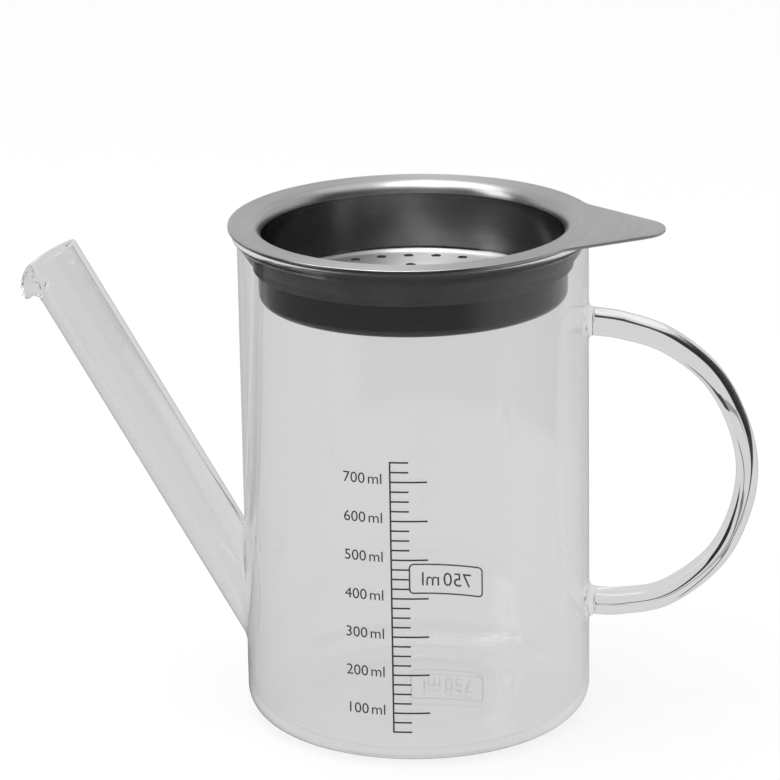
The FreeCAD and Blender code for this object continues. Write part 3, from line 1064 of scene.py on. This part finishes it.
    def drills(self) -> bpy.types.Object:
        """All the floor's holes as one set of pins."""
        low = self.top - self.depth
        points: list[Vector] = []
        faces: list[list[int]] = []
        steps = 28
        for radius, count, phase in self.rings:
            for angle in around(count):
                angle += math.radians(phase + self.turn)
                centre = Vector((radius * math.cos(angle), radius * math.sin(angle), 0))
                start = len(points)
                for z in (low - 1.0, low + 2.0):
                    points += [centre + upright([(self.hole_radius, z)], a)[0] for a in around(steps)]
                for k in range(steps):
                    j = (k + 1) % steps
                    faces.append([start + k, start + j, start + steps + j, start + steps + k])
                faces.append([start + k for k in reversed(range(steps))])
                faces.append([start + steps + k for k in range(steps)])
        return mesh_object("drills", points, faces)


# Studio


class Rays:
    """What kind of ray is looking, as signals of one node tree."""

    def __init__(self, graph: Graph) -> None:
        """Add the ray's facts to a node tree."""
        self.camera = graph.ray("Is Camera Ray")
        self.through = graph.ray("Is Transmission Ray")
        self.bounced = graph.ray("Glossy Depth").at_most(1.0)
        self.straight = self.through * (1.0 - self.bounced)
        self.shallow = 1.0 - (graph.ray("Transmission Depth") - 2.0).at_most(1.0).at_least(0.0)

    def lit(self, gloss: Signal, steel_sees: Signal, glass_sees: Term) -> Signal:
        """How bright a surround is to a ray that isn't the camera's.

        Args:
            gloss: to a reflection outside the glass.
            steel_sees: to steel behind several walls of glass.
            glass_sees: through one or two walls of glass.
        """
        inside = steel_sees + self.shallow * (glass_sees - steel_sees)
        return gloss + self.through * (inside - gloss)


@dataclass
class Studio:
    """The pale floor, the light and the camera. Lengths in metres, light as shares of white."""

    focal_pixels: float = 4179.6
    frame_pixels: float = 780.0
    sensor: float = 36.0
    distance: float = 1.27357
    pitch: float = 17.5536
    roll: float = -0.9262
    yaw: float = 7.5
    target: tuple[float, float] = (-0.0075792, 0.1022553)
    straight_light: float = 0.70
    handle_middle: tuple[float, float, float] = (0.085, 0.0, 0.08)
    whiteness: float = 0.85
    ceiling: float = 0.95
    back_wall: float = 0.60
    matt_sees: float = 0.80
    floor_tile: float = 500.0
    floor_gloss: float = 0.42
    floor_bright: float = 0.66
    floor_through: float = 0.68

    def camera(self) -> None:
        """Put the camera where the photograph was taken."""
        pitch, roll, yaw = (math.radians(a) for a in (self.pitch, self.roll, self.yaw))
        data = bpy.data.cameras.new("camera")
        data.sensor_width = self.sensor
        data.lens = self.focal_pixels / self.frame_pixels * self.sensor
        data.clip_start = 0.05
        data.clip_end = 50.0
        made = bpy.data.objects.new("camera", data)
        made.matrix_world = (
            Matrix.Rotation(yaw, 4, "Z")
            @ Matrix.Translation((self.target[0], 0, self.target[1]))
            @ Matrix.Rotation(math.pi / 2.0 - pitch, 4, "X")
            @ Matrix.Rotation(roll, 4, "Z")
            @ Matrix.Translation((0, 0, self.distance))
        )
        bpy.context.scene.collection.objects.link(made)
        bpy.context.scene.camera = made

    def world(self) -> None:
        """A white surround: greyer through glass, and for gloss a bright top and back and a dark front."""
        world = bpy.data.worlds.new("studio")
        bpy.context.scene.world = world
        world.use_nodes = True
        graph = Graph(world.node_tree)
        rays = Rays(graph)
        way = graph.node("ShaderNodeTexCoord", None, None, "Generated")
        x, y, z = graph.split(way)
        bright = (y.ramp(-0.25, 0.35) * self.back_wall).at_least(z.ramp(0.62, 0.85) * self.ceiling)
        twice = graph.ray("Glossy Depth").ramp(1.4, 1.6)
        gloss = 0.02 + bright * (1.0 - twice * 0.85)
        edge = x.ramp(0.40, 0.60) * z.ramp(0.05, 0.20)
        lit = rays.lit(gloss, gloss * 0.85 + 0.08, 0.70 - edge * 0.55)
        bent = self.rod_light(graph, way)
        plain = graph.mix(rays.bounced, (self.matt_sees,) * 3, graph.grey(lit))
        seen = graph.mix(rays.straight, plain, graph.grey(bent))
        colour = graph.mix(rays.camera, seen, (1.0, 1.0, 1.0))
        back = graph.node("ShaderNodeBackground", None, {"Color": colour, "Strength": 1.0})
        graph.node("ShaderNodeOutputWorld", None, {"Surface": back})

    def rod_light(self, graph: Graph, way: Signal) -> Signal:
        """What light bent by the rod and the tube's edges comes from: pale, with dark flags in it.

        Args:
            graph: the graph to build in.
            way: the direction looked in.

        Returns:
            The brightness.
        """
        x, y, z = graph.split(way)
        yaw = math.radians(self.yaw)
        across = x * math.cos(yaw) + y * math.sin(yaw)
        ahead = y * math.cos(yaw) - x * math.sin(yaw)
        # Degrees to the right of the studio's middle line and above its slope
        turn = across.angle_to(ahead) * (180.0 / math.pi)
        climb = z.angle_to((across * across + ahead * ahead).root()) * (180.0 / math.pi) + self.pitch
        # A wedge on the left
        outer = ((turn + 2.0) * 0.74).at_least(-17.0)
        left = (climb - turn * 0.34 - 1.8).ramp(0.5, -0.5) * (climb - outer).ramp(-0.5, 0.5)
        left = left * turn.ramp(-2.5, -4.0)
        # A wide bow below
        past = turn - 13.0
        width = 1.9 + turn.ramp(6.0, 16.0) * turn.ramp(33.0, 24.0) * 3.0
        wide = (climb + 15.3 - past * past * 0.026).band(width)
        wide = wide * turn.ramp(-7.0, -5.0) * turn.ramp(34.0, 29.0)
        # A fine strip on the right
        right = turn.ramp(15.0, 19.0)
        inner = turn - (climb * 1.9 + 0.5).at_most(climb * 0.9 + 13.0).at_most(28.5)
        fine = inner.band(1.5 + right * 1.4) * turn.ramp(-2.0, 0.0) * climb.ramp(33.0, 29.0)
        fine = fine * (0.55 + right * 0.4 - climb.ramp(15.0, 19.0) * 0.2)
        # Two thin strips, one through the middle and one up the left
        middle = (climb + 4.5 - (turn - 15.0).at_least(0.0) * 0.77).band(1.1) * turn.ramp(-3.0, -1.0)
        rim = turn - (-8.0 - climb).at_least(-11.6 - climb * 0.27)
        low = rim.band(1.6) * climb.ramp(0.0, 1.0) * climb.ramp(33.0, 30.0)
        thin = (middle * turn.ramp(30.0, 27.0)).at_least(low) * 0.75
        flags = left.at_least(wide).at_least(fine).at_least(thin)
        # A brighter patch beside the wedge
        glow = (climb - turn * 0.72).ramp(0.0, -1.5) * (climb - turn).ramp(-1.0, 1.0)
        light = self.straight_light * 0.96 + glow * turn.ramp(-5.0, -9.0) * 0.22
        return light * (1.0 - flags) + 0.005

    def floor(self) -> None:
        """A wide pale floor that shows as the white background and keeps the shadow."""
        tiles = range(12)
        corners = [
            Vector((x * self.floor_tile, y * self.floor_tile, 0)) for y in range(-6, 7) for x in range(-6, 7)
        ]
        faces = [[r * 13 + c, r * 13 + c + 1, r * 13 + c + 14, r * 13 + c + 13] for r in tiles for c in tiles]
        made = mesh_object("floor", corners, faces)
        made.location.z = -0.00005
        material, graph = new_material("pale_floor")
        rays = Rays(graph)
        x, y, z = graph.split(graph.place())
        reach = (x * x + y * y).root() + 0.01
        side = (x * 0.6 + y * 0.8) / reach
        gloss = 0.01 + side.ramp(-0.3, 0.3) * self.floor_gloss
        near = reach.ramp(0.24, 0.20) * self.floor_bright
        steel_sees = (side.ramp(-0.25, 0.15) * self.floor_bright).at_least(near) + 0.02
        lit = rays.lit(gloss, steel_sees, self.floor_through)
        way = graph.joined(*(part - middle for part, middle in zip((x, y, z), self.handle_middle)))
        bent = self.rod_light(graph, way)
        grey = rays.shallow * (bent - self.straight_light) + self.straight_light
        matt = graph.node("ShaderNodeBsdfDiffuse", None, {"Color": (0.9, 0.9, 0.9)})
        seen = graph.layered(rays.camera * self.whiteness, matt, graph.glowing((1.0, 1.0, 1.0)))
        seen = graph.layered(rays.straight, seen, graph.glowing(graph.grey(grey)))
        seen = graph.layered(rays.bounced, seen, graph.glowing(graph.grey(lit)))
        graph.node("ShaderNodeOutputMaterial", None, {"Surface": seen})
        made.data.materials.append(material)

    def lamp(self, name: str, place: Vector, size: tuple[float, float], power: float) -> None:
        """A soft area lamp aimed at the middle of the jug, of some width and height, its power in watts."""
        data = bpy.data.lights.new(name, "AREA")
        data.shape = "RECTANGLE"
        data.size, data.size_y = size
        data.energy = power
        made = bpy.data.objects.new(name, data)
        made.location = place
        made.rotation_euler = (Vector((0, 0, 0.08)) - place).to_track_quat("-Z", "Y").to_euler()
        bpy.context.scene.collection.objects.link(made)

    def build(self) -> None:
        """Set up the whole studio."""
        self.camera()
        self.world()
        self.floor()
        self.lamp("top_box", Vector((-0.15, -0.1, 1.1)), (0.9, 0.6), 6.0)
        self.lamp("left_box", Vector((-1.0, -0.5, 0.7)), (0.5, 0.9), 3.0)
        bpy.context.scene.view_settings.view_transform = "Standard"
        LOG.info("studio ready")


def main() -> None:
    """Build the separator and its studio."""
    Studio().build()
    GlassJug().build()
    Scale().build()
    Seal().build()
    Strainer().build()


if __name__ == "__main__":
    main()
